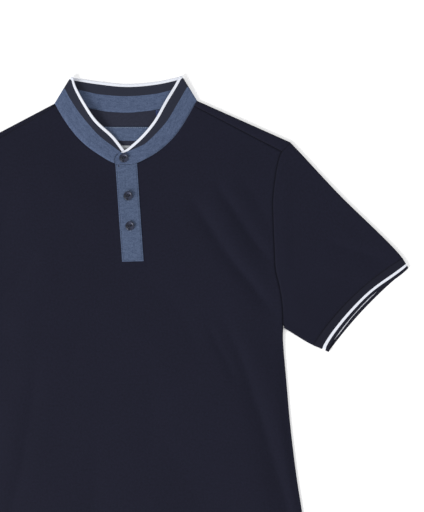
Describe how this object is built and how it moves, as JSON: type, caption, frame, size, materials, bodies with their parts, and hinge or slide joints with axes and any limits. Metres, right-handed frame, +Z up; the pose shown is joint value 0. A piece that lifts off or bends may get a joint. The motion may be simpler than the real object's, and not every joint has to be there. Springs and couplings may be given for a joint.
{
  "type": "polo shirt",
  "caption": "Short-sleeved polo shirt with a band collar and a buttoned placket, laid flat on its back.",
  "frame": {"origin": "middle of the shirt's outline as it lies, on the surface that it lies on", "axes": "+Z up out of the chest, +Y towards the neck, +X towards the wearer's left sleeve"},
  "size_m": [0.7792, 0.7583, 0.0111],
  "materials": {
    "navy_pique": "matte knitted pique",
    "navy_rib": "matte fine rib knit with one white stripe",
    "heather_rib": "matte heather knit, with a navy stripe and a white edge",
    "heather_cloth": "matte heather cloth, topstitched",
    "grey_label": "satin woven label",
    "blue_label": "satin woven label",
    "button_plastic": "semi-gloss"
  },
  "bodies": {
    "root": {"front": "navy_pique", "back": "navy_pique", "sleeve_left": "navy_pique", "sleeve_right": "navy_pique", "cuff_left": "navy_rib", "cuff_right": "navy_rib", "collar": "heather_rib", "placket": "heather_cloth", "neck_strip": "heather_cloth", "neck_label": "grey_label", "size_label": "blue_label", "button_1": "button_plastic", "button_2": "button_plastic", "button_3": "button_plastic"}
  },
  "joints": []
}
